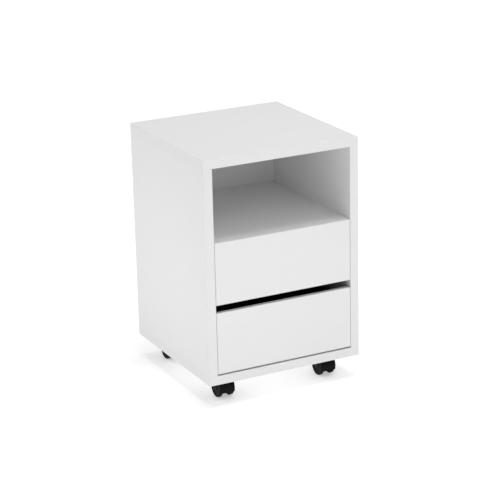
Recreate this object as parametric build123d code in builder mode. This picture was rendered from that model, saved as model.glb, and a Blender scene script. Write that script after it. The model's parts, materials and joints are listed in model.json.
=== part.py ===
"""Rolling pedestal cabinet with an open niche above two drawers, on four twin-wheel casters.

Millimetres, +Z up. The origin is on the floor under the middle of the cabinet, +X is the
right-hand side seen from the front, and the drawers open towards -Y.

The carcass is glued from 22 mm boards on dowels: the top and bottom panels cap the two
sides, and a thin back panel sits in grooves. Each drawer is a box of 12 mm boards behind a
12 mm front, on a pair of roller runners. The fronts have no handles: a gap between them
lets fingers reach behind the edge of either one.
"""

import os

from build123d import *

# Overall sizes
WIDTH = 400.0
DEPTH = 400.0
HEIGHT = 600.0
CASTER_HEIGHT = 57.0

# Boards
BOARD = 22.0
SHELF_BOARD = 16.0
FRONT_BOARD = 12.0
BOX_BOARD = 12.0
THIN_BOARD = 3.0
EDGE_RADIUS = 0.6
BOX_EDGE_RADIUS = 0.6

# Carcass layout
SHELF_TOP = 402.0
BACK_RECESS = 16.0
GROOVE_DEPTH = 8.0
GROOVE_PLAY = 0.1
GROOVE_BOTTOM_PLAY = 0.5
DOWEL_ROWS = (-150.0, -50.0, 50.0, 150.0)
SHELF_DOWEL_ROWS = (-150.0, 0.0, 150.0)

# Drawer fronts
FRONT_HEIGHT = 150.0
FRONT_SIDE_GAP = 1.0
FRONT_BOTTOM_GAP = 4.0
FINGER_GAP = 19.0
FRONT_STOP_GAP = 0.3

# Drawer boxes
RUNNER_SPACE = 12.5
BOX_LENGTH = 350.0
BOX_HEIGHT = 110.0
BOX_LIFT = 14.0
BOX_GROOVE_HEIGHT = 10.0
BOX_GROOVE_DEPTH = 5.0
BOX_BACK_INSET = 4.0
BOX_JOINT_HEIGHTS = (25.0, 85.0)
CAM_HEIGHT = 55.0
CAM_SETBACK = 24.0
CAM_RADIUS = 7.5
CAM_LENGTH = 10.0
BACK_SCREW_HEIGHTS = (35.0, 85.0)
BOTTOM_SCREW_ROW = 80.0

# Runners
SHEET = 1.0
CHANNEL_WIDTH = 10.0
CHANNEL_BELOW = 3.0
CHANNEL_ABOVE = 18.5
RAIL_ABOVE = 17.0
RAIL_FLANGE = 12.5
RAIL_REACH = 10.0
CABINET_RAIL_FRONT = -186.0
CABINET_RAIL_LENGTH = 350.0
FRONT_ROLLER_Y = -174.0
FRONT_ROLLER_RADIUS = 8.9
REAR_ROLLER_Y = 150.0
REAR_ROLLER_RADIUS = 9.4
ROLLER_WIDTH = 6.0
STUD_RADIUS = 2.5
STUD_HEAD_RADIUS = 4.0
STUD_HEAD = 0.7
CABINET_SCREW_ROWS = (-130.0, 20.0, 150.0)
DRAWER_SCREW_ROWS = (-120.0, 0.0, 110.0)
RAIL_SCREW_HEIGHT = 5.0
SLOT_LENGTH = 14.0
SLOT_WIDTH = 4.5
CABINET_SLOT_ROWS = (-100.0, -60.0, 60.0, 105.0)
DRAWER_SLOT_ROWS = (-85.0, -40.0, 40.0, 80.0)

# Casters
CASTER_X = 136.5
CASTER_FRONT_Y = -149.0
CASTER_REAR_Y = 134.5
TRAIL = 12.0
WHEEL_RADIUS = 25.0
WHEEL_INNER_X = 11.0
WHEEL_OUTER_X = 19.0
WHEEL_RIM = 4.0
TREAD_INNER_RADIUS = 1.0
TREAD_OUTER_RADIUS = 1.8
DISH_EDGE_RADIUS = 0.4
WHEEL_RIBS = 8
RIB_THICKNESS = 1.2
RIB_SETBACK = 1.0
HUB_RADIUS = 7.0
HUB_BORE_END = 17.6
AXLE_RADIUS = 3.0
AXLE_HALF_LENGTH = 17.2
WEB_HALF_WIDTH = 10.4
WEB_RADIUS = 19.5
HOOD_RADIUS = 27.5
HOOD_THICKNESS = 1.7
HOOD_HALF_WIDTH = 19.0
HOOD_START = 30.0
HOOD_SWEEP = 172.0
MOULDED_EDGE_RADIUS = 0.8
NECK_RADIUS = 8.5
COLLAR_RADIUS = 12.0
COLLAR_HEIGHT = 2.1
SWIVEL_PLAY = 0.3
KINGPIN_RADIUS = 4.0
KINGPIN_LENGTH = 23.0
PLATE_SIZE = 42.0
PLATE_THICKNESS = 2.0
PLATE_CORNER = 5.0
PLATE_HOLE_OFFSET = 16.0

# Fasteners
FIT_PLAY = 0.05
DOWEL_RADIUS = 4.0
DOWEL_LENGTH = 30.0
DOWEL_FACE_DEPTH = 12.0
DOWEL_END_DEPTH = 20.0
SMALL_DOWEL_RADIUS = 3.0
SMALL_DOWEL_LENGTH = 24.0
SMALL_DOWEL_FACE_DEPTH = 8.0
SMALL_DOWEL_END_DEPTH = 18.0
DOWEL_CHAMFER = 0.8
PAN_HEAD_RADIUS = 3.2
PAN_HEAD = 1.4
RAIL_SCREW_RADIUS = 1.5
DRAWER_RAIL_SCREW_LENGTH = 10.0
CABINET_RAIL_SCREW_LENGTH = 13.0
CORNER_SCREW_RADIUS = 2.0
CORNER_SCREW_LENGTH = 36.0
CORNER_HEAD_RADIUS = 3.5
CORNER_HEAD_ANGLE = 90.0
BOTTOM_SCREW_RADIUS = 1.75
BOTTOM_SCREW_LENGTH = 16.0
CASTER_SCREW_RADIUS = 1.75
CASTER_SCREW_LENGTH = 16.0
RECESS_LENGTH = 3.4
RECESS_WIDTH = 0.8
RECESS_DEPTH = 0.9
CAM_BOLT_RADIUS = 2.5
CAM_BOLT_HEAD_RADIUS = 3.2
CAM_BORE_RADIUS = 3.6

# Levels and faces worked out from the sizes above
FRONT_Y = -DEPTH / 2
REAR_Y = DEPTH / 2
HALF_WIDTH = WIDTH / 2
INNER_X = HALF_WIDTH - BOARD
SIDE_MID_X = HALF_WIDTH - BOARD / 2
FLOOR_TOP = CASTER_HEIGHT + BOARD
CEILING = HEIGHT - BOARD
BACK_FACE_Y = REAR_Y - BACK_RECESS - THIN_BOARD
BOX_X = INNER_X - RUNNER_SPACE
BOX_INNER_X = BOX_X - BOX_BOARD
BOX_SIDE_MID_X = BOX_X - BOX_BOARD / 2
BOX_FRONT_Y = FRONT_Y + FRONT_BOARD
BOX_REAR_Y = BOX_FRONT_Y + BOX_LENGTH
BOX_BACK_Y = (BOX_REAR_Y - BOX_BACK_INSET - BOX_BOARD, BOX_REAR_Y - BOX_BACK_INSET)
BOX_BACK_MID_Y = sum(BOX_BACK_Y) / 2
LOWER_FRONT_Z = FLOOR_TOP + FRONT_BOTTOM_GAP
UPPER_FRONT_Z = LOWER_FRONT_Z + FRONT_HEIGHT + FINGER_GAP
DRAWERS = {"upper": UPPER_FRONT_Z, "lower": LOWER_FRONT_Z}
SIDES = {"left": -1, "right": 1}
CASTERS = {
    "front_left": (-CASTER_X, CASTER_FRONT_Y),
    "front_right": (CASTER_X, CASTER_FRONT_Y),
    "rear_left": (-CASTER_X, CASTER_REAR_Y),
    "rear_right": (CASTER_X, CASTER_REAR_Y),
}
PLATE_BOTTOM = CASTER_HEIGHT - PLATE_THICKNESS
PARTS_FOLDER = "parts"


def save(part, label):
    """Labels a finished part and writes it as one STEP file."""
    part.label = label
    export_step(part, f"{PARTS_FOLDER}/{label}.step")


def block(x, y, z, mode=Mode.ADD):
    """A box that fills three (low, high) ranges, given in either order."""
    ranges = (sorted(x), sorted(y), sorted(z))
    with Locations(tuple((low + high) / 2 for low, high in ranges)):
        Box(*(high - low for low, high in ranges), mode=mode)


def rod(foot, direction, radius, length, mode=Mode.ADD):
    """A cylinder that grows from its foot along a direction."""
    with Locations(Plane(origin=foot, z_dir=direction)):
        Cylinder(radius, length, align=(Align.CENTER, Align.CENTER, Align.MIN), mode=mode)


def drill(mouth, outward, radius, depth):
    """A round hole from its mouth into the part. Outward points out of the hole."""
    with Locations(Plane(origin=mouth, z_dir=outward)):
        Hole(radius + FIT_PLAY, depth)


def punched_slots(rows, side, x, box_bottom):
    """Spare fixing slots along a runner, punched through its web."""
    for y in rows:
        middle = (side * x, y, box_bottom + RAIL_SCREW_HEIGHT)
        with BuildSketch(Plane(origin=middle, x_dir=(0, 1, 0), z_dir=(side, 0, 0))) as slot:
            SlotOverall(SLOT_LENGTH, SLOT_WIDTH)
        extrude(slot.sketch, amount=SHEET, both=True, mode=Mode.SUBTRACT)


def cross_recess(face_centre, outward):
    """The driver slots in a screw head or a cam."""
    with Locations(Plane(origin=face_centre, z_dir=outward)):
        for length, width in ((RECESS_LENGTH, RECESS_WIDTH), (RECESS_WIDTH, RECESS_LENGTH)):
            Box(
                length,
                width,
                RECESS_DEPTH,
                align=(Align.CENTER, Align.CENTER, Align.MAX),
                mode=Mode.SUBTRACT,
            )


def pan_screw(seat, inward, radius, length):
    """A pan-head screw. The head stands on the seat, and the shank goes inward from it."""
    outward = -Vector(*inward)
    rod(seat, inward, radius, length)
    rod(seat, outward, PAN_HEAD_RADIUS, PAN_HEAD)
    cross_recess(Vector(*seat) + outward * PAN_HEAD, outward)


# ---------------------------------------------------------------- carcass


def carcass_joints(side):
    """Where the carcass dowels cross from the top and bottom panels into one side."""
    for y in DOWEL_ROWS:
        yield (side * SIDE_MID_X, y, CEILING), (0, 0, 1)
        yield (side * SIDE_MID_X, y, FLOOR_TOP), (0, 0, -1)


def shelf_joints(side):
    """Where the shelf dowels cross from the side into the shelf."""
    for y in SHELF_DOWEL_ROWS:
        yield (side * INNER_X, y, SHELF_TOP - SHELF_BOARD / 2), (side, 0, 0)


def rail_screw_points(side, rows, x, box_bottom):
    """Screw places along one runner part, on the plane at x."""
    return [(side * x, y, box_bottom + RAIL_SCREW_HEIGHT) for y in rows]


def make_cap_panel(label, z, inner_face, inward):
    """The top or bottom panel. Its sharp inner edges sit flush on the sides, with no visible joint."""
    back_groove_x = INNER_X + GROOVE_DEPTH
    with BuildPart() as panel:
        block((-HALF_WIDTH, HALF_WIDTH), (FRONT_Y, REAR_Y), z)
        outer_face = panel.faces().sort_by(Axis.Z)[0 if inward > 0 else -1]
        fillet(panel.edges().filter_by(Axis.Z) + outer_face.edges(), EDGE_RADIUS)
        block(
            (-back_groove_x, back_groove_x),
            (BACK_FACE_Y - GROOVE_PLAY, BACK_FACE_Y + THIN_BOARD + GROOVE_PLAY),
            (inner_face, inner_face - inward * GROOVE_DEPTH),
            mode=Mode.SUBTRACT,
        )
        for side in SIDES.values():
            for y in DOWEL_ROWS:
                drill((side * SIDE_MID_X, y, inner_face), (0, 0, inward), DOWEL_RADIUS, DOWEL_FACE_DEPTH)
        if inward > 0:
            for x, y in CASTERS.values():
                for mouth_x, mouth_y in plate_holes(x, y):
                    mouth = (mouth_x, mouth_y, CASTER_HEIGHT)
                    drill(mouth, (0, 0, -1), CASTER_SCREW_RADIUS, CASTER_SCREW_LENGTH)
    save(panel.part, label)


def make_side_panel(name, side):
    """One side, with its back groove, dowel holes and the runners' screw holes."""
    with BuildPart() as panel:
        block((side * INNER_X, side * HALF_WIDTH), (FRONT_Y, REAR_Y), (FLOOR_TOP, CEILING))
        fillet(panel.edges().filter_by(Axis.Z), EDGE_RADIUS)
        block(
            (side * INNER_X, side * (INNER_X + GROOVE_DEPTH)),
            (BACK_FACE_Y - GROOVE_PLAY, BACK_FACE_Y + THIN_BOARD + GROOVE_PLAY),
            (FLOOR_TOP, CEILING),
            mode=Mode.SUBTRACT,
        )
        for mouth, outward in carcass_joints(side):
            drill(mouth, outward, DOWEL_RADIUS, DOWEL_END_DEPTH)
        for mouth, into_side in shelf_joints(side):
            drill(mouth, -Vector(*into_side), DOWEL_RADIUS, DOWEL_FACE_DEPTH)
        for front_z in DRAWERS.values():
            for mouth in rail_screw_points(side, CABINET_SCREW_ROWS, INNER_X, front_z + BOX_LIFT):
                drill(mouth, (-side, 0, 0), RAIL_SCREW_RADIUS, CABINET_RAIL_SCREW_LENGTH)
    save(panel.part, f"{name}_side_panel")


def make_shelf():
    """The floor of the niche. The upper drawer front closes against its front edge."""
    with BuildPart() as shelf:
        block(
            (-INNER_X, INNER_X),
            (BOX_FRONT_Y + FRONT_STOP_GAP, BACK_FACE_Y),
            (SHELF_TOP - SHELF_BOARD, SHELF_TOP),
        )
        fillet(shelf.faces().sort_by(Axis.Y)[0].edges().filter_by(Axis.X), BOX_EDGE_RADIUS)
        for side in SIDES.values():
            for mouth, outward in shelf_joints(side):
                drill(mouth, outward, DOWEL_RADIUS, DOWEL_END_DEPTH)
    save(shelf.part, "niche_shelf")


def make_back_panel():
    """The thin back, held all round in the carcass grooves."""
    reach = GROOVE_DEPTH - GROOVE_BOTTOM_PLAY
    with BuildPart() as back:
        block(
            (-INNER_X - reach, INNER_X + reach),
            (BACK_FACE_Y, BACK_FACE_Y + THIN_BOARD),
            (FLOOR_TOP - reach, CEILING + reach),
        )
    save(back.part, "back_panel")


def make_carcass_dowels():
    """All the dowels that join the carcass, as one group."""
    face_part = (DOWEL_LENGTH + DOWEL_FACE_DEPTH - DOWEL_END_DEPTH) / 2
    with BuildPart() as dowels:
        for side in SIDES.values():
            for joint, into_face_board in (*carcass_joints(side), *shelf_joints(side)):
                tip = Vector(*joint) + Vector(*into_face_board) * face_part
                rod(tip, -Vector(*into_face_board), DOWEL_RADIUS, DOWEL_LENGTH)
        chamfer(dowels.edges().filter_by(GeomType.CIRCLE), DOWEL_CHAMFER)
    save(dowels.part, "carcass_dowels")


# ---------------------------------------------------------------- runners


def make_cabinet_rail(drawer, name, side, box_bottom):
    """The fixed channel of one runner, with the stud of its front roller."""
    web_x = INNER_X - SHEET
    lip_x = INNER_X - CHANNEL_WIDTH
    length_y = (CABINET_RAIL_FRONT, CABINET_RAIL_FRONT + CABINET_RAIL_LENGTH)
    foot = box_bottom - CHANNEL_BELOW
    head = box_bottom + CHANNEL_ABOVE
    roller_zone = (CABINET_RAIL_FRONT, FRONT_ROLLER_Y + FRONT_ROLLER_RADIUS + SHEET * 3)
    stud = (side * web_x, FRONT_ROLLER_Y, front_roller_z(box_bottom))
    with BuildPart() as channel:
        block((side * web_x, side * INNER_X), length_y, (foot, head))
        block((side * lip_x, side * INNER_X), length_y, (foot, foot + SHEET))
        block((side * lip_x, side * INNER_X), length_y, (head - SHEET, head))
        bends = channel.edges().filter_by(Axis.Y).filter_by(
            lambda edge: abs(abs(edge.center().X) - INNER_X) < SHEET / 2
        )
        fillet(bends, SHEET * 0.8)
        block((side * lip_x, side * web_x), roller_zone, (foot, foot + SHEET), mode=Mode.SUBTRACT)
        for mouth in rail_screw_points(side, CABINET_SCREW_ROWS, web_x, box_bottom):
            drill(mouth, (-side, 0, 0), RAIL_SCREW_RADIUS, SHEET)
        punched_slots(CABINET_SLOT_ROWS, side, web_x, box_bottom)
    with BuildPart() as roller_stud:
        rod(stud, (-side, 0, 0), STUD_RADIUS, SHEET * 2 + ROLLER_WIDTH)
        head_x = web_x - SHEET * 2 - ROLLER_WIDTH
        rod((side * head_x, *stud[1:]), (-side, 0, 0), STUD_HEAD_RADIUS, STUD_HEAD)
    save(Compound([channel.part.solid(), roller_stud.part.solid()]), f"{drawer}_{name}_cabinet_rail")


def make_drawer_rail(drawer, name, side, box_bottom):
    """The moving angle under one drawer side, with the stud of its rear roller."""
    web_x = BOX_X + SHEET
    length_y = (BOX_FRONT_Y + FRONT_STOP_GAP, BOX_REAR_Y)
    top = box_bottom + RAIL_ABOVE
    flange_end = REAR_ROLLER_Y - REAR_ROLLER_RADIUS - SHEET * 4
    stud = (side * web_x, REAR_ROLLER_Y, rear_roller_z(box_bottom))
    with BuildPart() as angle:
        block((side * BOX_X, side * web_x), length_y, (box_bottom - SHEET, top))
        block((side * (web_x - RAIL_FLANGE), side * web_x), length_y, (box_bottom - SHEET, box_bottom))
        block((side * BOX_X, side * (BOX_X + RAIL_REACH)), (length_y[0], flange_end), (top - SHEET, top))
        lower_bend = angle.edges().filter_by(Axis.Y).filter_by(
            lambda edge: abs(abs(edge.center().X) - web_x) < SHEET / 2 and edge.center().Z < box_bottom
        )
        fillet(lower_bend, SHEET * 0.8)
        for mouth in rail_screw_points(side, DRAWER_SCREW_ROWS, web_x, box_bottom):
            drill(mouth, (side, 0, 0), RAIL_SCREW_RADIUS, SHEET)
        punched_slots(DRAWER_SLOT_ROWS, side, web_x, box_bottom)
    with BuildPart() as roller_stud:
        rod(stud, (side, 0, 0), STUD_RADIUS, SHEET * 2 + ROLLER_WIDTH)
        head_x = web_x + SHEET * 2 + ROLLER_WIDTH
        rod((side * head_x, *stud[1:]), (side, 0, 0), STUD_HEAD_RADIUS, STUD_HEAD)
    save(Compound([angle.part.solid(), roller_stud.part.solid()]), f"{drawer}_drawer_{name}_rail")


def front_roller_z(box_bottom):
    """The fixed roller carries the drawer rail's upper flange."""
    return box_bottom + RAIL_ABOVE - SHEET - FRONT_ROLLER_RADIUS - 2 * FIT_PLAY


def rear_roller_z(box_bottom):
    """The moving roller runs on the channel's lower flange."""
    return box_bottom - CHANNEL_BELOW + SHEET + REAR_ROLLER_RADIUS + 2 * FIT_PLAY


def make_roller(label, inner_end, outward, radius):
    """A nylon roller with a rounded tread and a dished face, bored for its stud."""
    axis = Vector(*outward)
    with BuildPart() as roller:
        rod(inner_end, outward, radius, ROLLER_WIDTH)
        fillet(roller.edges(), 0.6)
        rod(Vector(*inner_end) + axis * (ROLLER_WIDTH - 1), outward, radius - 2.5, 1, mode=Mode.SUBTRACT)
        rod(Vector(*inner_end) + axis * (ROLLER_WIDTH - 1), outward, STUD_HEAD_RADIUS, 1)
        rod(inner_end, outward, STUD_RADIUS + FIT_PLAY, ROLLER_WIDTH, mode=Mode.SUBTRACT)
    save(roller.part, label)


def make_cabinet_rail_screws():
    """The screws that hold the four fixed channels."""
    with BuildPart() as screws:
        for side in SIDES.values():
            for front_z in DRAWERS.values():
                for seat in rail_screw_points(side, CABINET_SCREW_ROWS, INNER_X - SHEET, front_z + BOX_LIFT):
                    pan_screw(seat, (side, 0, 0), RAIL_SCREW_RADIUS, CABINET_RAIL_SCREW_LENGTH)
    save(screws.part, "cabinet_rail_screws")


# ---------------------------------------------------------------- drawers


def front_joints(box_bottom):
    """Where the small dowels cross from the drawer front into its sides."""
    return [
        (side * BOX_SIDE_MID_X, BOX_FRONT_Y, box_bottom + height)
        for side in SIDES.values()
        for height in BOX_JOINT_HEIGHTS
    ]


def corner_screw_points(box_bottom):
    """Where the countersunk screws enter the drawer sides, with their way in."""
    return [
        ((side * BOX_X, BOX_BACK_MID_Y, box_bottom + height), (-side, 0, 0))
        for side in SIDES.values()
        for height in BACK_SCREW_HEIGHTS
    ]


def bottom_screw_points(box_bottom):
    """Where the drawer bottom is screwed up into the drawer back."""
    underside = bottom_range(box_bottom)[0]
    return [(side * BOTTOM_SCREW_ROW, BOX_BACK_MID_Y, underside) for side in SIDES.values()]


def groove_range(box_bottom):
    """The height range of the groove that holds the drawer bottom."""
    low = box_bottom + BOX_GROOVE_HEIGHT
    return (low, low + THIN_BOARD + 2 * GROOVE_PLAY)


def bottom_range(box_bottom):
    """The height range of the drawer bottom, midway in its groove."""
    low = box_bottom + BOX_GROOVE_HEIGHT + GROOVE_PLAY
    return (low, low + THIN_BOARD)


def make_drawer_front(drawer, front_z, box_bottom):
    """A plain front, with blind holes and a groove in its hidden face."""
    groove_x = BOX_INNER_X + BOX_GROOVE_DEPTH
    half = INNER_X - FRONT_SIDE_GAP
    with BuildPart() as front:
        block((-half, half), (FRONT_Y, BOX_FRONT_Y), (front_z, front_z + FRONT_HEIGHT))
        fillet(front.edges(), EDGE_RADIUS)
        block(
            (-groove_x, groove_x),
            (BOX_FRONT_Y, BOX_FRONT_Y - BOX_GROOVE_DEPTH),
            groove_range(box_bottom),
            mode=Mode.SUBTRACT,
        )
        for mouth in front_joints(box_bottom):
            drill(mouth, (0, 1, 0), SMALL_DOWEL_RADIUS, SMALL_DOWEL_FACE_DEPTH)
        for side in SIDES.values():
            mouth = (side * BOX_SIDE_MID_X, BOX_FRONT_Y, box_bottom + CAM_HEIGHT)
            drill(mouth, (0, 1, 0), CAM_BOLT_RADIUS, SMALL_DOWEL_FACE_DEPTH)
    save(front.part, f"{drawer}_drawer_front")


def make_drawer_side(drawer, name, side, box_bottom):
    """One side of the box, grooved for the bottom and bored for its joints."""
    cam_y = BOX_FRONT_Y + CAM_SETBACK
    with BuildPart() as board:
        block(
            (side * BOX_INNER_X, side * BOX_X),
            (BOX_FRONT_Y, BOX_REAR_Y),
            (box_bottom, box_bottom + BOX_HEIGHT),
        )
        fillet(board.edges().filter_by(Axis.Y), BOX_EDGE_RADIUS)
        block(
            (side * BOX_INNER_X, side * (BOX_INNER_X + BOX_GROOVE_DEPTH)),
            (BOX_FRONT_Y, BOX_REAR_Y),
            groove_range(box_bottom),
            mode=Mode.SUBTRACT,
        )
        for joint in front_joints(box_bottom):
            if joint[0] * side > 0:
                drill(joint, (0, -1, 0), SMALL_DOWEL_RADIUS, SMALL_DOWEL_END_DEPTH)
        cam_level = box_bottom + CAM_HEIGHT
        drill((side * BOX_INNER_X, cam_y, cam_level), (-side, 0, 0), CAM_RADIUS, CAM_LENGTH)
        drill((side * BOX_SIDE_MID_X, BOX_FRONT_Y, cam_level), (0, -1, 0), CAM_BORE_RADIUS, CAM_SETBACK)
        for mouth in rail_screw_points(side, DRAWER_SCREW_ROWS, BOX_X, box_bottom):
            drill(mouth, (side, 0, 0), RAIL_SCREW_RADIUS, DRAWER_RAIL_SCREW_LENGTH)
        for mouth, way_in in corner_screw_points(box_bottom):
            if mouth[0] * side > 0:
                with Locations(Plane(origin=mouth, z_dir=-Vector(*way_in))):
                    CounterSinkHole(
                        CORNER_SCREW_RADIUS + FIT_PLAY,
                        CORNER_HEAD_RADIUS + FIT_PLAY,
                        depth=BOX_BOARD,
                        counter_sink_angle=CORNER_HEAD_ANGLE,
                    )
    save(board.part, f"{drawer}_drawer_{name}_side")


def make_drawer_back(drawer, box_bottom):
    """The back of the box, which stands on the drawer bottom."""
    with BuildPart() as board:
        block(
            (-BOX_INNER_X, BOX_INNER_X), BOX_BACK_Y, (bottom_range(box_bottom)[1], box_bottom + BOX_HEIGHT)
        )
        fillet(board.faces().sort_by(Axis.Z)[-1].edges().filter_by(Axis.X), BOX_EDGE_RADIUS)
        for mouth, way_in in corner_screw_points(box_bottom):
            inner_mouth = Vector(*mouth) + Vector(*way_in) * BOX_BOARD
            drill(inner_mouth, -Vector(*way_in), CORNER_SCREW_RADIUS, CORNER_SCREW_LENGTH - BOX_BOARD)
        for x, y, z in bottom_screw_points(box_bottom):
            drill((x, y, z + THIN_BOARD), (0, 0, -1), BOTTOM_SCREW_RADIUS, BOTTOM_SCREW_LENGTH - THIN_BOARD)
    save(board.part, f"{drawer}_drawer_back")


def make_drawer_bottom(drawer, box_bottom):
    """The bottom of the box, slid into the sides and the front from behind."""
    half = BOX_INNER_X + BOX_GROOVE_DEPTH - GROOVE_BOTTOM_PLAY
    front_edge = BOX_FRONT_Y - BOX_GROOVE_DEPTH + GROOVE_BOTTOM_PLAY
    with BuildPart() as board:
        block((-half, half), (front_edge, BOX_BACK_Y[1]), bottom_range(box_bottom))
        for mouth in bottom_screw_points(box_bottom):
            drill(mouth, (0, 0, -1), BOTTOM_SCREW_RADIUS, THIN_BOARD)
    save(board.part, f"{drawer}_drawer_bottom")


def make_drawer_dowels(drawer, box_bottom):
    """The small dowels between the drawer front and its sides."""
    into_front = SMALL_DOWEL_FACE_DEPTH - 1
    with BuildPart() as dowels:
        for x, y, z in front_joints(box_bottom):
            rod((x, y - into_front, z), (0, 1, 0), SMALL_DOWEL_RADIUS, SMALL_DOWEL_LENGTH)
        chamfer(dowels.edges().filter_by(GeomType.CIRCLE), DOWEL_CHAMFER)
    save(dowels.part, f"{drawer}_drawer_dowels")


def make_cam_fittings(drawer, box_bottom):
    """Two cams and the two bolts with which they pull the front on to the sides."""
    cam_y = BOX_FRONT_Y + CAM_SETBACK
    level = box_bottom + CAM_HEIGHT
    fittings = []
    for side in SIDES.values():
        bolt_tip = (side * BOX_SIDE_MID_X, BOX_FRONT_Y - SMALL_DOWEL_FACE_DEPTH + 1, level)
        bolt_head = (side * BOX_SIDE_MID_X, cam_y - CAM_BOLT_HEAD_RADIUS * 2, level)
        with BuildPart() as cam:
            rod((side * BOX_INNER_X, cam_y, level), (side, 0, 0), CAM_RADIUS, CAM_LENGTH)
            rod(
                (side * BOX_SIDE_MID_X, cam_y - CAM_RADIUS, level),
                (0, 1, 0),
                CAM_BORE_RADIUS,
                CAM_RADIUS + CAM_BORE_RADIUS,
                mode=Mode.SUBTRACT,
            )
            cross_recess((side * BOX_INNER_X, cam_y, level), (-side, 0, 0))
        with BuildPart() as bolt:
            rod(bolt_tip, (0, 1, 0), CAM_BOLT_RADIUS, bolt_head[1] - bolt_tip[1])
            rod(bolt_head, (0, 1, 0), CAM_BOLT_HEAD_RADIUS, CAM_BOLT_HEAD_RADIUS * 2)
            fillet(bolt.edges().sort_by(Axis.Y)[-1], 1.0)
        fittings += [cam.part.solid(), bolt.part.solid()]
    save(Compound(fittings), f"{drawer}_drawer_cam_fittings")


def make_drawer_screws(drawer, box_bottom):
    """Corner screws, bottom screws and rail screws of one drawer."""
    head_depth = CORNER_HEAD_RADIUS - CORNER_SCREW_RADIUS
    with BuildPart() as screws:
        for mouth, way_in in corner_screw_points(box_bottom):
            rod(mouth, way_in, CORNER_SCREW_RADIUS, CORNER_SCREW_LENGTH)
            with Locations(Plane(origin=mouth, z_dir=way_in)):
                Cone(
                    CORNER_HEAD_RADIUS,
                    CORNER_SCREW_RADIUS,
                    head_depth,
                    align=(Align.CENTER, Align.CENTER, Align.MIN),
                )
            cross_recess(mouth, -Vector(*way_in))
        for seat in bottom_screw_points(box_bottom):
            pan_screw(seat, (0, 0, 1), BOTTOM_SCREW_RADIUS, BOTTOM_SCREW_LENGTH)
        for side in SIDES.values():
            for seat in rail_screw_points(side, DRAWER_SCREW_ROWS, BOX_X + SHEET, box_bottom):
                pan_screw(seat, (-side, 0, 0), RAIL_SCREW_RADIUS, DRAWER_RAIL_SCREW_LENGTH)
    save(screws.part, f"{drawer}_drawer_screws")


# ---------------------------------------------------------------- casters


def plate_holes(x, y):
    """The four screw places of one mounting plate."""
    return [
        (x + step_x * PLATE_HOLE_OFFSET, y + step_y * PLATE_HOLE_OFFSET)
        for step_x in (-1, 1)
        for step_y in (-1, 1)
    ]


def make_caster_plates():
    """The four mounting plates under the bottom panel."""
    with BuildPart() as plates:
        with BuildSketch(Plane.XY.offset(PLATE_BOTTOM)):
            with Locations(*CASTERS.values()):
                RectangleRounded(PLATE_SIZE, PLATE_SIZE, PLATE_CORNER)
                Circle(KINGPIN_RADIUS + FIT_PLAY, mode=Mode.SUBTRACT)
            for x, y in CASTERS.values():
                with Locations(*plate_holes(x, y)):
                    Circle(CASTER_SCREW_RADIUS + FIT_PLAY, mode=Mode.SUBTRACT)
        extrude(amount=PLATE_THICKNESS)
    save(plates.part, "caster_plates")


def make_kingpins():
    """The four swivel pins, each riveted into its plate and grooved for a grip ring."""
    groove_z = CASTER_HEIGHT - KINGPIN_LENGTH + 4
    with BuildPart() as pins:
        for x, y in CASTERS.values():
            rod((x, y, CASTER_HEIGHT - KINGPIN_LENGTH), (0, 0, 1), KINGPIN_RADIUS, KINGPIN_LENGTH)
        for foot in pins.edges().group_by(Axis.Z)[0]:
            chamfer(foot, DOWEL_CHAMFER)
        for x, y in CASTERS.values():
            with BuildSketch(Plane.XY.offset(groove_z)):
                with Locations((x, y)):
                    Circle(KINGPIN_RADIUS)
                    Circle(KINGPIN_RADIUS - 0.6, mode=Mode.SUBTRACT)
            extrude(amount=1.5, mode=Mode.SUBTRACT)
    save(pins.part, "caster_kingpins")


def make_caster_screws():
    """The sixteen screws that hold the plates."""
    with BuildPart() as screws:
        for x, y in CASTERS.values():
            for hole_x, hole_y in plate_holes(x, y):
                seat = (hole_x, hole_y, PLATE_BOTTOM)
                pan_screw(seat, (0, 0, 1), CASTER_SCREW_RADIUS, CASTER_SCREW_LENGTH)
    save(screws.part, "caster_screws")


def make_caster_housing(name, x, y):
    """The hooded body between and over the two wheels, which turns about the kingpin."""
    wheel_plane = Plane(origin=(x, y + TRAIL, WHEEL_RADIUS), x_dir=(0, 1, 0), z_dir=(1, 0, 0))
    top = PLATE_BOTTOM - SWIVEL_PLAY
    neck_foot = WHEEL_RADIUS + HUB_RADIUS
    with BuildPart() as housing:
        with BuildSketch(wheel_plane):
            with BuildLine():
                outer = CenterArc((0, 0), HOOD_RADIUS, HOOD_START, HOOD_SWEEP)
                inner = CenterArc((0, 0), HOOD_RADIUS - HOOD_THICKNESS, HOOD_START, HOOD_SWEEP)
                Line(outer @ 0, inner @ 0)
                Line(outer @ 1, inner @ 1)
            make_face()
        extrude(amount=HOOD_HALF_WIDTH, both=True)
        with BuildSketch(wheel_plane):
            Circle(WEB_RADIUS)
            with BuildLine():
                outer = CenterArc((0, 0), HOOD_RADIUS - HOOD_THICKNESS / 2, HOOD_START, HOOD_SWEEP)
                Line(outer @ 0, (0, 0))
                Line(outer @ 1, (0, 0))
            make_face()
        extrude(amount=WEB_HALF_WIDTH, both=True)
        fillet(housing.edges(), MOULDED_EDGE_RADIUS)
        rod((x, y, neck_foot), (0, 0, 1), NECK_RADIUS, top - neck_foot)
        rod((x, y, top - COLLAR_HEIGHT), (0, 0, 1), COLLAR_RADIUS, COLLAR_HEIGHT)
        rod(
            (x, y, CASTER_HEIGHT - KINGPIN_LENGTH - 1),
            (0, 0, 1),
            KINGPIN_RADIUS + FIT_PLAY,
            KINGPIN_LENGTH,
            mode=Mode.SUBTRACT,
        )
        rod(
            (x - HOOD_HALF_WIDTH, y + TRAIL, WHEEL_RADIUS),
            (1, 0, 0),
            AXLE_RADIUS + FIT_PLAY,
            2 * HOOD_HALF_WIDTH,
            mode=Mode.SUBTRACT,
        )
    save(housing.part, f"{name}_caster_housing")


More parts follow.
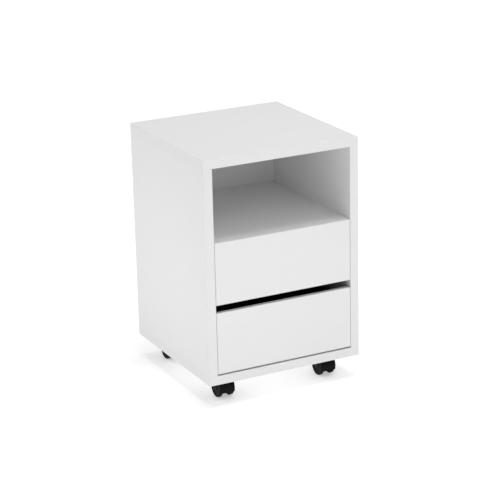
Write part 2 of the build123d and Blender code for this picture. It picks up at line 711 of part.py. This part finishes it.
def make_caster_axle(name, x, y):
    """The steel axle that both wheels turn on."""
    with BuildPart() as axle:
        rod((x - AXLE_HALF_LENGTH, y + TRAIL, WHEEL_RADIUS), (1, 0, 0), AXLE_RADIUS, 2 * AXLE_HALF_LENGTH)
        chamfer(axle.edges(), 0.5)
    save(axle.part, f"{name}_caster_axle")


def make_caster_wheel(name, side_name, side, x, y):
    """One wheel: a rim, a dished disc near its outer face, and a blind-bored hub."""
    centre = (x, y + TRAIL, WHEEL_RADIUS)
    dish_outer = WHEEL_OUTER_X - 1.2
    dish_inner = dish_outer - 2.3
    rim_radius = WHEEL_RADIUS - WHEEL_RIM
    with BuildPart() as wheel:
        with BuildSketch(Plane(origin=centre, x_dir=(side, 0, 0), z_dir=(0, -side, 0))) as section:
            with BuildLine():
                Polyline(
                    (WHEEL_INNER_X, AXLE_RADIUS + FIT_PLAY),
                    (WHEEL_INNER_X, HUB_RADIUS),
                    (dish_inner, HUB_RADIUS),
                    (dish_inner, rim_radius),
                    (WHEEL_INNER_X, rim_radius),
                    (WHEEL_INNER_X, WHEEL_RADIUS),
                    (WHEEL_OUTER_X, WHEEL_RADIUS),
                    (WHEEL_OUTER_X, rim_radius),
                    (dish_outer, rim_radius - 1),
                    (dish_outer, HUB_RADIUS + 1),
                    (WHEEL_OUTER_X, HUB_RADIUS),
                    (WHEEL_OUTER_X, 0),
                    (HUB_BORE_END, 0),
                    (HUB_BORE_END, AXLE_RADIUS + FIT_PLAY),
                    close=True,
                )
            make_face()
            fillet(section.vertices().group_by(Axis.Y)[-1].sort_by(Axis.X)[0], TREAD_INNER_RADIUS)
            fillet(section.vertices().group_by(Axis.Y)[-1].sort_by(Axis.X)[-1], TREAD_OUTER_RADIUS)
            outer_face = section.vertices().filter_by(lambda point: point.X > HUB_BORE_END)
            fillet(outer_face.filter_by_position(Axis.Y, HUB_RADIUS, rim_radius), DISH_EDGE_RADIUS)
        revolve(axis=Axis(centre, (1, 0, 0)))
        rib_length = rim_radius - HUB_RADIUS + 1
        with BuildSketch(Plane(origin=(x + side * dish_inner, *centre[1:]), z_dir=(-side, 0, 0))):
            with PolarLocations((HUB_RADIUS + rim_radius) / 2, WHEEL_RIBS):
                Rectangle(rib_length, RIB_THICKNESS)
        extrude(amount=dish_inner - WHEEL_INNER_X - RIB_SETBACK)
    save(wheel.part, f"{name}_caster_{side_name}_wheel")


def main():
    os.makedirs(PARTS_FOLDER, exist_ok=True)
    make_cap_panel("top_panel", (CEILING, HEIGHT), CEILING, inward=-1)
    make_cap_panel("bottom_panel", (CASTER_HEIGHT, FLOOR_TOP), FLOOR_TOP, inward=1)
    for name, side in SIDES.items():
        make_side_panel(name, side)
    make_shelf()
    make_back_panel()
    make_carcass_dowels()
    make_cabinet_rail_screws()
    for drawer, front_z in DRAWERS.items():
        box_bottom = front_z + BOX_LIFT
        make_drawer_front(drawer, front_z, box_bottom)
        make_drawer_back(drawer, box_bottom)
        make_drawer_bottom(drawer, box_bottom)
        make_drawer_dowels(drawer, box_bottom)
        make_cam_fittings(drawer, box_bottom)
        make_drawer_screws(drawer, box_bottom)
        for name, side in SIDES.items():
            make_drawer_side(drawer, name, side, box_bottom)
            make_cabinet_rail(drawer, name, side, box_bottom)
            make_drawer_rail(drawer, name, side, box_bottom)
            make_roller(
                f"{drawer}_{name}_cabinet_roller",
                (side * (INNER_X - SHEET * 2), FRONT_ROLLER_Y, front_roller_z(box_bottom)),
                (-side, 0, 0),
                FRONT_ROLLER_RADIUS,
            )
            make_roller(
                f"{drawer}_{name}_drawer_roller",
                (side * (BOX_X + SHEET * 2), REAR_ROLLER_Y, rear_roller_z(box_bottom)),
                (side, 0, 0),
                REAR_ROLLER_RADIUS,
            )
    make_caster_plates()
    make_kingpins()
    make_caster_screws()
    for name, (x, y) in CASTERS.items():
        make_caster_housing(name, x, y)
        make_caster_axle(name, x, y)
        for side_name, side in SIDES.items():
            make_caster_wheel(name, side_name, side, x, y)


main()
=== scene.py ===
"""Looks of the rolling pedestal cabinet: its finishes, threaded hardware, studio and camera.

Everything is in metres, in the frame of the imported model. The boards, runners and casters
are the model's own nodes with new finishes. Screws and dowels are replaced by pieces with
threads and flutes, which stand exactly where the model's plain ones stand.
"""

import json
import math

import bmesh
import bpy
from mathutils import Matrix, Quaternion, Vector


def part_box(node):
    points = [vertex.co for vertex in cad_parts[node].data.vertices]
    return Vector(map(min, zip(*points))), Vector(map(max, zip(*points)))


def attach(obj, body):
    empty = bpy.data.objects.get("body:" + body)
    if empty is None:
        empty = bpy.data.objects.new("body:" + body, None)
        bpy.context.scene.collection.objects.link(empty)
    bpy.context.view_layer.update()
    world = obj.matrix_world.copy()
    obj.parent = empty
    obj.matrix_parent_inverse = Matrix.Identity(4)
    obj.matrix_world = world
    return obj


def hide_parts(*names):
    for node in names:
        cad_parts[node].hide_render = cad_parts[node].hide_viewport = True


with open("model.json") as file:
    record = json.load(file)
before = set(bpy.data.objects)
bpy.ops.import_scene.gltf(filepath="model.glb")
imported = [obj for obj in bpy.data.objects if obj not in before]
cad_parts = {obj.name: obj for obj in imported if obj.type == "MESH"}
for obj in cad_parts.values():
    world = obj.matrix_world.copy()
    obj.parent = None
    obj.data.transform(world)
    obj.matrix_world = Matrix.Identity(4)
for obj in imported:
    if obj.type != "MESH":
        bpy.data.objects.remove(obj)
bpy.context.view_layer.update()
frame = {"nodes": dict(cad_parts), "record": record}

NODES = frame["nodes"]
RECORD = frame["record"]
SLOT_OF = {part["node"]: part["material_slot"] for part in RECORD["subparts"]}
MM = 0.001

# Boards
WHITE = (0.86, 0.86, 0.86)
BAND_WHITE = (0.85, 0.85, 0.85)
BLACK = (0.022, 0.022, 0.024)
BAND_BLACK = (0.026, 0.026, 0.028)
CHIPBOARD = (0.46, 0.32, 0.19)
CHIP_DARK = (0.22, 0.13, 0.06)
BAND_THICKNESS = 1.0 * MM
BAND_JOINT = 0.12 * MM
CORE_DEPTH = 0.4 * MM
JOINT_DIRT = (0.1, 0.09, 0.08)
PEARL_SIZE = 1.1 * MM
GRAIN_SIZE = 0.35 * MM
FACE_RELIEF = 0.012 * MM
FACE_ROUGHNESS = (0.34, 0.42)
CHIP_ROUGHNESS = 0.85
CHIP_RELIEF = 20.0

# Which edges of each board carry an edge band, and which are left raw, as the axes they face
BANDED = {
    "top_panel": "XY",
    "bottom_panel": "XY",
    "left_side_panel": "Y",
    "right_side_panel": "Y",
    "niche_shelf": "Y",
    "front": "XZ",
    "side": "Z",
    "back": "Z",
}
RAW = {
    "left_side_panel": "Z",
    "right_side_panel": "Z",
    "niche_shelf": "X",
    "side": "Y",
    "back": "X",
}

# Bare beech
BEECH = (0.66, 0.47, 0.29)
BEECH_DARK = (0.56, 0.38, 0.22)
BEECH_LIGHT = (0.74, 0.56, 0.37)
BEECH_FLECK = (0.33, 0.19, 0.09)

# Metals
ZINC = (0.66, 0.67, 0.69)
ZINC_BLUE = (0.62, 0.65, 0.70)
ZINC_STRAW = (0.70, 0.69, 0.64)
ZINC_SPANGLE = (0.5, 0.51, 0.53)
COATING = (0.03, 0.031, 0.033)
COATING_RUBBED = (0.07, 0.07, 0.074)

# Plastics
NYLON = (0.78, 0.77, 0.71)
HOUSING_BLACK = (0.005, 0.005, 0.0052)
WHEEL_BLACK = (0.004, 0.004, 0.004)
DUST = (0.03, 0.03, 0.03)

# Screw threads, as shares of a screw's length and radius where they have no unit
THREAD_PITCH = 1.3 * MM
THREAD_FOOT = 0.28 * MM
THREAD_START = 0.25
THREAD_END = 0.9 * MM
THREAD_ROOT = 0.9
THREAD_DEPTH = 0.28
TURN_STEPS = 20

# Dowels
FLUTES = 20
SPOKES_PER_FLUTE = 4
FLUTE_DEPTH = 0.3 * MM
DOWEL_BEVEL = 0.8 * MM

# Meshes. Corners farther from a pin's middle than this share of its length are its ends
WELD_DISTANCE = 0.001 * MM
END_SHARE = 0.45
SCREW_SMOOTH_ANGLE = 35
DOWEL_SMOOTH_ANGLE = 20

# Studio. The floor glows a little, and more far away, so that it stays white behind the cabinet
WORLD_STRENGTH = 0.38
PAPER = (0.9, 0.9, 0.9)
FLOOR_REACH = 40.0
FLOOR_GLOW_NEAR = 0.40
FLOOR_GLOW_FAR = 0.66
GLOW_START = 0.3
GLOW_END = 1.6

# Each light's name, place, aim, width, spread in degrees and power in watts
MIDDLE = (0.0, 0.0, 0.3)
LOW_DOWN = (-0.1, 0.0, 0.15)
LIGHTS = (
    ("overhead", (0.0, -0.15, 3.3), MIDDLE, 1.6, 180, 41.5),
    ("front_high", (0.0, -2.1, 2.4), MIDDLE, 1.6, 180, 4.2),
    ("right_high", (1.85, -1.05, 2.4), MIDDLE, 1.6, 180, 8.2),
    ("front_beam", (-0.3, -2.2, 0.2), LOW_DOWN, 0.7, 25, 0.06),
    ("left_front_beam", (-1.6, -1.5, 0.2), LOW_DOWN, 0.7, 25, 0.09),
    ("left_low", (-1.0, 0.1, 0.05), LOW_DOWN, 0.5, 60, 0.12),
)

# Camera
CAMERA_AZIMUTH = math.radians(-26.88)
CAMERA_ELEVATION = math.radians(18.43)
CAMERA_ROLL = math.radians(-1.35)
CAMERA_DISTANCE = 4.548
CAMERA_TARGET = Vector((0.014, 0.0, 0.2973))
CAMERA_LENS = 135.6
SENSOR_WIDTH = 36.0


# ---------------------------------------------------------------- shader building


class Finish:
    """A Principled material, with short calls that add the nodes of its pattern."""

    def __init__(self, name, colour, roughness, **inputs):
        self.material = bpy.data.materials.new(name)
        self.material.use_nodes = True
        self.tree = self.material.node_tree
        self.shader = self.tree.nodes["Principled BSDF"]
        self.shader.inputs["Base Color"].default_value = (*colour, 1.0)
        self.shader.inputs["Roughness"].default_value = roughness
        for socket, value in inputs.items():
            self.shader.inputs[socket.replace("_", " ")].default_value = value
        self.place = self.add("ShaderNodeTexCoord").outputs["Object"]

    def add(self, kind, **settings):
        node = self.tree.nodes.new(kind)
        for name, value in settings.items():
            setattr(node, name, value)
        return node

    def feed(self, socket, value):
        """Puts a number, a colour or another node's output into a socket."""
        if isinstance(value, bpy.types.NodeSocket):
            self.tree.links.new(value, socket)
        elif socket.type == "RGBA":
            socket.default_value = (*value, 1.0)
        else:
            socket.default_value = value

    def calc(self, operation, *values):
        """One step of arithmetic."""
        node = self.add("ShaderNodeMath", operation=operation)
        for socket, value in zip(node.inputs, values):
            self.feed(socket, value)
        return node.outputs[0]

    def least(self, values):
        """The smallest of several values."""
        result = values[0]
        for value in values[1:]:
            result = self.calc("MINIMUM", result, value)
        return result

    def vector(self, operation, *values):
        """One step of vector arithmetic."""
        node = self.add("ShaderNodeVectorMath", operation=operation)
        for socket, value in zip(node.inputs, values):
            self.feed(socket, value)
        return node.outputs[0]

    def split(self, vector):
        """The three parts of a vector."""
        node = self.add("ShaderNodeSeparateXYZ")
        self.feed(node.inputs[0], vector)
        return dict(zip("XYZ", node.outputs))

    def stretched(self, x, y, z):
        """The place on the piece, squeezed so that patterns stretch by these amounts."""
        return self.vector("DIVIDE", self.place, (x, y, z))

    def noise(self, cell, detail=2.0, place=None):
        """Soft clouds from 0 to 1, about one cell across."""
        node = self.add("ShaderNodeTexNoise")
        self.feed(node.inputs["Vector"], place or self.place)
        node.inputs["Scale"].default_value = 1.0 / cell
        node.inputs["Detail"].default_value = detail
        return node.outputs["Fac"]

    def cells(self, cell, place=None, output="Distance"):
        """Random cells, as the distance from each one's middle or as its own colour."""
        node = self.add("ShaderNodeTexVoronoi")
        self.feed(node.inputs["Vector"], place or self.place)
        node.inputs["Scale"].default_value = 1.0 / cell
        return node.outputs[output]

    def remap(self, value, low, high, new_low, new_high):
        """Moves a range of values to another, and holds its ends."""
        node = self.add("ShaderNodeMapRange")
        numbers = {"From Min": low, "From Max": high, "To Min": new_low, "To Max": new_high}
        self.feed(node.inputs["Value"], value)
        for name, number in numbers.items():
            self.feed(node.inputs[name], number)
        return node.outputs["Result"]

    def blend(self, factor, first, second):
        """A colour between two, by a factor."""
        node = self.add("ShaderNodeMix", data_type="RGBA")
        for index, value in zip((0, 6, 7), (factor, first, second)):
            self.feed(node.inputs[index], value)
        return node.outputs[2]

    def varied(self, colour, pattern, amount):
        """A colour made up to this share lighter and darker by a 0 to 1 pattern."""
        dark = [part * (1 - amount) for part in colour]
        light = [part * (1 + amount) for part in colour]
        return self.blend(pattern, dark, light)

    def bump(self, height, depth, under=None):
        """Raises the surface by depth where height is 1."""
        node = self.add("ShaderNodeBump")
        node.inputs["Distance"].default_value = depth
        self.feed(node.inputs["Height"], height)
        if under is not None:
            self.feed(node.inputs["Normal"], under)
        return node.outputs["Normal"]

    def use(self, colour=None, roughness=None, normal=None):
        """Feeds the shader, and returns the finished material."""
        for name, value in (("Base Color", colour), ("Roughness", roughness), ("Normal", normal)):
            if value is not None:
                self.feed(self.shader.inputs[name], value)
        return self.material


# ---------------------------------------------------------------- board finishes


def chipboard(finish):
    """Raw chipboard: pressed flakes of light and dark wood. Returns its colour and height."""
    flakes = finish.cells(1.6 * MM, place=finish.stretched(1.8, 1.0, 1.0), output="Color")
    tone = finish.calc("MULTIPLY", finish.split(flakes)["X"], finish.noise(0.6 * MM, detail=3.0))
    colour = finish.blend(finish.remap(tone, 0.1, 0.6, 0.0, 1.0), CHIP_DARK, CHIPBOARD)
    return colour, finish.noise(0.8 * MM, detail=4.0)


def board_finish(node, face, band, banded="", raw=""):
    """A melamine-faced board: pearl-textured faces, edge bands with a hairline joint, raw core."""
    low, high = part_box(node)
    finish = Finish(f"board_{node}", face, 0.4)
    middle = (low + high) / 2
    half = (high - low) / 2
    offset = finish.vector("ABSOLUTE", finish.vector("SUBTRACT", finish.place, middle))
    depth = finish.split(finish.vector("SUBTRACT", half, offset))

    clouds = finish.noise(70 * MM)
    pearl = finish.cells(PEARL_SIZE)
    grain = finish.noise(GRAIN_SIZE, detail=1.0)
    colour = finish.varied(face, clouds, 0.008)
    roughness = finish.remap(finish.noise(18 * MM), 0.3, 0.7, *FACE_ROUGHNESS)
    height = finish.calc("MULTIPLY_ADD", grain, 0.35, pearl)

    if banded:
        band_depth = finish.least([depth[axis] for axis in banded])
        on_band = finish.remap(band_depth, BAND_THICKNESS * 0.97, BAND_THICKNESS * 1.03, 1.0, 0.0)
        from_joint = finish.calc("ABSOLUTE", finish.calc("SUBTRACT", band_depth, BAND_THICKNESS))
        joint = finish.remap(from_joint, BAND_JOINT / 3, BAND_JOINT, 1.0, 0.0)
        streaks = finish.noise(3.0 * MM, place=finish.stretched(1.0, 1.0, 12.0))
        colour = finish.blend(on_band, colour, finish.varied(band, streaks, 0.012))
        colour = finish.blend(finish.calc("MULTIPLY", joint, 0.22), colour, JOINT_DIRT)
        height = finish.calc("MULTIPLY", height, finish.remap(on_band, 0.0, 1.0, 1.0, 0.35))
        height = finish.calc("SUBTRACT", height, finish.calc("MULTIPLY", joint, 1.5))

    core_depth = finish.least([depth[axis] for axis in "XYZ"])
    on_core = finish.remap(core_depth, CORE_DEPTH * 0.9, CORE_DEPTH * 1.1, 0.0, 1.0)
    if raw:
        raw_depth = finish.least([depth[axis] for axis in raw])
        on_end = finish.remap(raw_depth, 0.02 * MM, 0.06 * MM, 1.0, 0.0)
        on_core = finish.calc("MAXIMUM", on_core, on_end)
    chips, chip_height = chipboard(finish)
    colour = finish.blend(on_core, colour, chips)
    roughness = finish.remap(on_core, 0.0, 1.0, roughness, CHIP_ROUGHNESS)
    core_height = finish.calc("MULTIPLY", chip_height, on_core)
    height = finish.calc("MULTIPLY_ADD", core_height, CHIP_RELIEF, height)
    return finish.use(colour, roughness, finish.bump(height, FACE_RELIEF))


def hardboard_finish(name, face):
    """A lacquered thin board, with the faint print of the roller that coated it."""
    finish = Finish(name, face, 0.45)
    print_lines = finish.noise(2.5 * MM, place=finish.stretched(1.0, 6.0, 6.0))
    speckle = finish.noise(0.5 * MM, detail=3.0)
    colour = finish.varied(face, finish.noise(45 * MM), 0.015)
    roughness = finish.remap(finish.noise(12 * MM), 0.3, 0.7, 0.38, 0.5)
    height = finish.calc("MULTIPLY_ADD", print_lines, 1.4, speckle)
    return finish.use(colour, roughness, finish.bump(height, 0.02 * MM))


def beech_finish():
    """Bare beech: fine fibres along the grain with short dark flecks, read from the piece."""
    finish = Finish("beech", BEECH, 0.62)
    own = finish.add("ShaderNodeAttribute", attribute_name="own_place").outputs["Vector"]
    along = finish.vector("DIVIDE", own, (1.0, 1.0, 14.0))
    fibres = finish.noise(0.35 * MM, detail=4.0, place=along)
    flecks = finish.remap(finish.cells(0.8 * MM, place=along), 0.0, 0.22, 1.0, 0.0)
    colour = finish.blend(finish.remap(fibres, 0.3, 0.7, 0.0, 1.0), BEECH_DARK, BEECH_LIGHT)
    colour = finish.blend(finish.calc("MULTIPLY", flecks, 0.5), colour, BEECH_FLECK)
    roughness = finish.remap(fibres, 0.2, 0.8, 0.5, 0.75)
    return finish.use(colour, roughness, finish.bump(fibres, 0.05 * MM))


# ---------------------------------------------------------------- metal and plastic finishes


def zinc_finish():
    """Bright zinc plating: a crystalline sheen with faint blue and straw tints."""
    finish = Finish("zinc", ZINC, 0.3, Metallic=1.0)
    spangle = finish.noise(1.4 * MM, detail=4.0)
    tint = finish.remap(finish.noise(4.0 * MM), 0.3, 0.7, 0.0, 1.0)
    colour = finish.blend(tint, ZINC_BLUE, ZINC_STRAW)
    colour = finish.blend(finish.remap(spangle, 0.35, 0.65, 0.0, 0.35), colour, ZINC_SPANGLE)
    roughness = finish.remap(spangle, 0.3, 0.7, 0.24, 0.42)
    return finish.use(colour, roughness, finish.bump(finish.noise(0.25 * MM), 0.006 * MM))


def coated_metal_finish():
    """Black epoxy powder on rolled steel: fine orange peel, and a few lighter rubbed spots."""
    finish = Finish("black_coated_rail", COATING, 0.36)
    peel = finish.noise(0.9 * MM, detail=1.0)
    rubbed = finish.remap(finish.noise(7.0 * MM, detail=5.0), 0.62, 0.75, 0.0, 0.35)
    colour = finish.blend(rubbed, finish.varied(COATING, peel, 0.15), COATING_RUBBED)
    roughness = finish.remap(rubbed, 0.0, 0.35, 0.36, 0.28)
    return finish.use(colour, roughness, finish.bump(peel, 0.03 * MM))


def nylon_finish():
    """Natural nylon: milky and slightly waxy, with faint clouds."""
    finish = Finish("roller_nylon", NYLON, 0.38, Subsurface_Weight=0.08)
    cloud = finish.noise(3.0 * MM, detail=3.0)
    colour = finish.varied(NYLON, cloud, 0.04)
    roughness = finish.remap(cloud, 0.3, 0.7, 0.32, 0.46)
    return finish.use(colour, roughness, finish.bump(cloud, 0.02 * MM))


def moulded_finish(name, colour, rough_low, rough_high, grain_depth):
    """Black injection-moulded plastic: a fine spark-eroded grain and slow gloss clouds."""
    finish = Finish(name, colour, rough_low, Specular_IOR_Level=0.08)
    clouds = finish.noise(9.0 * MM, detail=3.0)
    grain = finish.noise(0.28 * MM, detail=2.0)
    dust = finish.remap(finish.noise(1.1 * MM, detail=6.0), 0.64, 0.8, 0.0, 0.2)
    tone = finish.blend(dust, finish.varied(colour, clouds, 0.12), DUST)
    roughness = finish.remap(clouds, 0.3, 0.7, rough_low, rough_high)
    return finish.use(tone, roughness, finish.bump(grain, grain_depth))


def floor_finish():
    """Matt studio paper with the faintest unevenness. It also glows, a little near the cabinet and more
    far away, which lightens the cabinet's shadow on it and lights the cabinet from below.
    """
    finish = Finish("studio_floor", PAPER, 0.9, Specular_IOR_Level=0.1)
    finish.shader.inputs["Emission Color"].default_value = (1.0, 1.0, 1.0, 1.0)
    distance = finish.add("ShaderNodeVectorMath", operation="LENGTH")
    finish.feed(distance.inputs[0], finish.place)
    reach = distance.outputs["Value"]
    # Painted light: the floor's own glow, which lightens the shadow on it
    glow = finish.remap(reach, GLOW_START, GLOW_END, FLOOR_GLOW_NEAR, FLOOR_GLOW_FAR)
    finish.feed(finish.shader.inputs["Emission Strength"], glow)
    fibre = finish.noise(1.5 * MM, detail=3.0)
    colour = finish.varied(PAPER, finish.noise(0.6), 0.004)
    return finish.use(colour=colour, normal=finish.bump(fibre, 0.01 * MM))


# ---------------------------------------------------------------- hardware shapes


def welded(node):
    """A copy of a CAD node's mesh with its split corners joined."""
    mesh = bmesh.new()
    mesh.from_mesh(NODES[node].data)
    bmesh.ops.remove_doubles(mesh, verts=mesh.verts, dist=WELD_DISTANCE)
    return mesh


def solids(mesh):
    """The places of the corners of each separate solid in a mesh."""
    unseen = set(mesh.verts)
    groups = []
    while unseen:
        front = [unseen.pop()]
        group = []
        while front:
            vertex = front.pop()
            group.append(vertex.co.copy())
            neighbours = {edge.other_vert(vertex) for edge in vertex.link_edges} & unseen
            unseen -= neighbours
            front.extend(neighbours)
        groups.append(group)
    return groups


class Pin:
    """The axis, length and radii of a long round solid, from its wide end to its thin one."""

    def __init__(self, points):
        low = Vector(map(min, zip(*points)))
        high = Vector(map(max, zip(*points)))
        size = high - low
        self.length = max(size)
        axis = list(size).index(self.length)
        middle = (low + high) / 2
        forward = Vector((0, 0, 0))
        forward[axis] = 1.0
        ends = []
        for sign in (-1, 1):
            offsets = [point - middle for point in points]
            near = [offset for offset in offsets if sign * offset[axis] > END_SHARE * self.length]
            reach = max((offset - forward * offset[axis]).length for offset in near)
            ends.append((reach, sign))
        self.radius, toward_tip = min(ends)
        self.head = middle - forward * (toward_tip * self.length / 2)
        turn = Vector((0, 0, 1)).rotation_difference(forward * toward_tip)
        self.place = Matrix.Translation(self.head) @ turn.to_matrix().to_4x4()


def add_ridge(mesh, pin):
    """Winds a screw thread round a pin, fading out before its head and at its tip."""
    start = pin.length * THREAD_START
    end = pin.length - THREAD_END
    steps = int((end - start) / THREAD_PITCH * TURN_STEPS)
    rings = []
    root = pin.radius * THREAD_ROOT
    for step in range(steps + 1):
        share = step / steps
        angle = math.tau * step / TURN_STEPS
        rise = start + (end - start) * share
        fade = min(1.0, share * steps / TURN_STEPS, (1 - share) * steps / TURN_STEPS)
        crest = pin.radius * (1 + THREAD_DEPTH * fade)
        ring = []
        for radius, shift in ((root, -THREAD_FOOT), (crest, 0.0), (root, THREAD_FOOT)):
            place = Vector((radius * math.cos(angle), radius * math.sin(angle), rise + shift))
            ring.append(mesh.verts.new(pin.place @ place))
        rings.append(ring)
    for first, second in zip(rings, rings[1:]):
        for side in range(3):
            after = (side + 1) % 3
            mesh.faces.new((first[side], first[after], second[after], second[side]))
    mesh.faces.new(reversed(rings[0]))
    mesh.faces.new(rings[-1])


def add_fluted_dowel(mesh, pin, own_place):
    """A dowel with pressed flutes and chamfered ends, noting each corner's place along its own grain."""
    spokes = FLUTES * SPOKES_PER_FLUTE
    levels = (
        (0.0, DOWEL_BEVEL),
        (DOWEL_BEVEL, 0.0),
        (pin.length - DOWEL_BEVEL, 0.0),
        (pin.length, DOWEL_BEVEL),
    )
    rings = []
    for rise, inset in levels:
        ring = []
        for spoke in range(spokes):
            flute = FLUTE_DEPTH if spoke % SPOKES_PER_FLUTE == 0 else 0.0
            radius = pin.radius - max(inset, flute)
            angle = math.tau * spoke / spokes
            own = Vector((radius * math.cos(angle), radius * math.sin(angle), rise))
            vertex = mesh.verts.new(pin.place @ own)
            vertex[own_place] = own + pin.head
            ring.append(vertex)
        rings.append(ring)
    for lower, upper in zip(rings, rings[1:]):
        for spoke in range(spokes):
            after = (spoke + 1) % spokes
            mesh.faces.new((lower[spoke], lower[after], upper[after], upper[spoke]))
    mesh.faces.new(reversed(rings[0]))
    mesh.faces.new(rings[-1])


def add_piece(name, mesh, node, body, material, smooth_angle):
    """Turns a mesh into the piece that stands for a CAD node."""
    bmesh.ops.recalc_face_normals(mesh, faces=mesh.faces)
    data = bpy.data.meshes.new(name)
    mesh.to_mesh(data)
    mesh.free()
    data.materials.append(material)
    data.shade_smooth()
    data.set_sharp_from_angle(angle=math.radians(smooth_angle))
    piece = bpy.data.objects.new(name, data)
    bpy.context.scene.collection.objects.link(piece)
    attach(piece, body)
    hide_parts(node)


def make_threaded_screws(node, body, material):
    """The node's own screws with a thread wound on each."""
    mesh = welded(node)
    for points in solids(mesh):
        add_ridge(mesh, Pin(points))
    add_piece(f"threaded_{node}", mesh, node, body, material, SCREW_SMOOTH_ANGLE)


def make_fluted_dowels(node, body, material):
    """Fluted dowels where the node's plain ones are."""
    plain = welded(node)
    mesh = bmesh.new()
    own_place = mesh.verts.layers.float_vector.new("own_place")
    for points in solids(plain):
        add_fluted_dowel(mesh, Pin(points), own_place)
    plain.free()
    add_piece(f"fluted_{node}", mesh, node, body, material, DOWEL_SMOOTH_ANGLE)


# ---------------------------------------------------------------- studio


def add_light(name, place, aim, width, spread, power):
    """A square softbox. A narrow spread makes it a soft beam."""
    light = bpy.data.lights.new(name, "AREA")
    light.shape = "SQUARE"
    light.size = width
    light.spread = math.radians(spread)
    light.energy = power
    lamp = bpy.data.objects.new(name, light)
    lamp.location = place
    lamp.rotation_euler = (Vector(aim) - Vector(place)).to_track_quat("-Z", "Y").to_euler()
    lamp.visible_camera = False
    bpy.context.scene.collection.objects.link(lamp)


def add_floor():
    """A wide pale floor."""
    mesh = bmesh.new()
    bmesh.ops.create_grid(mesh, x_segments=2, y_segments=2, size=FLOOR_REACH)
    data = bpy.data.meshes.new("floor")
    mesh.to_mesh(data)
    mesh.free()
    data.materials.append(floor_finish())
    floor = bpy.data.objects.new("floor", data)
    bpy.context.scene.collection.objects.link(floor)


def set_world():
    """Even white light from all round."""
    world = bpy.data.worlds.new("studio")
    world.use_nodes = True
    background = world.node_tree.nodes["Background"]
    background.inputs["Color"].default_value = (1.0, 1.0, 1.0, 1.0)
    background.inputs["Strength"].default_value = WORLD_STRENGTH
    bpy.context.scene.world = world
    bpy.context.scene.view_settings.view_transform = "Standard"


def add_camera():
    """A long lens, a little above the cabinet and to the left of its front."""
    back = Vector((
        math.sin(CAMERA_AZIMUTH) * math.cos(CAMERA_ELEVATION),
        -math.cos(CAMERA_AZIMUTH) * math.cos(CAMERA_ELEVATION),
        math.sin(CAMERA_ELEVATION),
    ))
    data = bpy.data.cameras.new("camera")
    data.lens = CAMERA_LENS
    data.sensor_width = SENSOR_WIDTH
    camera = bpy.data.objects.new("camera", data)
    camera.location = CAMERA_TARGET + back * CAMERA_DISTANCE
    camera.rotation_mode = "QUATERNION"
    roll = Quaternion((0, 0, 1), CAMERA_ROLL)
    camera.rotation_quaternion = (-back).to_track_quat("-Z", "Y") @ roll
    bpy.context.scene.collection.objects.link(camera)
    bpy.context.scene.camera = camera


# ---------------------------------------------------------------- putting it together


def dress(node, material):
    """Gives a CAD node its finish."""
    for slot in NODES[node].material_slots:
        slot.material = material


def dress_boards():
    """Gives every faced board its own finish, because bands and raw ends differ from board to board."""
    for node in ("top_panel", "bottom_panel", "left_side_panel", "right_side_panel", "niche_shelf"):
        dress(node, board_finish(node, WHITE, BAND_WHITE, BANDED[node], RAW.get(node, "")))
    for drawer in ("upper", "lower"):
        front = f"{drawer}_drawer_front"
        dress(front, board_finish(front, WHITE, BAND_WHITE, BANDED["front"]))
        for part, role in (("left_side", "side"), ("right_side", "side"), ("back", "back")):
            node = f"{drawer}_drawer_{part}"
            dress(node, board_finish(node, BLACK, BAND_BLACK, BANDED[role], RAW[role]))


def dress_the_rest():
    """Gives every other node the finish of its material slot."""
    finishes = {
        "white_hardboard": hardboard_finish("white_hardboard", WHITE),
        "black_hardboard": hardboard_finish("black_hardboard", BLACK),
        "beech_dowel": beech_finish(),
        "coated_rail": coated_metal_finish(),
        "zinc_steel": zinc_finish(),
        "roller_nylon": nylon_finish(),
        "caster_housing_plastic": moulded_finish("housing_plastic", HOUSING_BLACK, 0.32, 0.46, 0.02 * MM),
        "caster_wheel_plastic": moulded_finish("wheel_plastic", WHEEL_BLACK, 0.42, 0.58, 0.03 * MM),
    }
    for node, slot in SLOT_OF.items():
        if slot in finishes:
            dress(node, finishes[slot])
    return finishes


def main():
    """Finishes, hardware, studio and camera, in that order."""
    dress_boards()
    finishes = dress_the_rest()
    zinc = finishes["zinc_steel"]
    beech = finishes["beech_dowel"]
    make_fluted_dowels("carcass_dowels", "carcass", beech)
    make_threaded_screws("cabinet_rail_screws", "carcass", zinc)
    make_threaded_screws("caster_screws", "carcass", zinc)
    for drawer in ("upper", "lower"):
        make_fluted_dowels(f"{drawer}_drawer_dowels", f"{drawer}_drawer", beech)
        make_threaded_screws(f"{drawer}_drawer_screws", f"{drawer}_drawer", zinc)

    add_floor()
    set_world()
    for light in LIGHTS:
        add_light(*light)
    add_camera()


main()
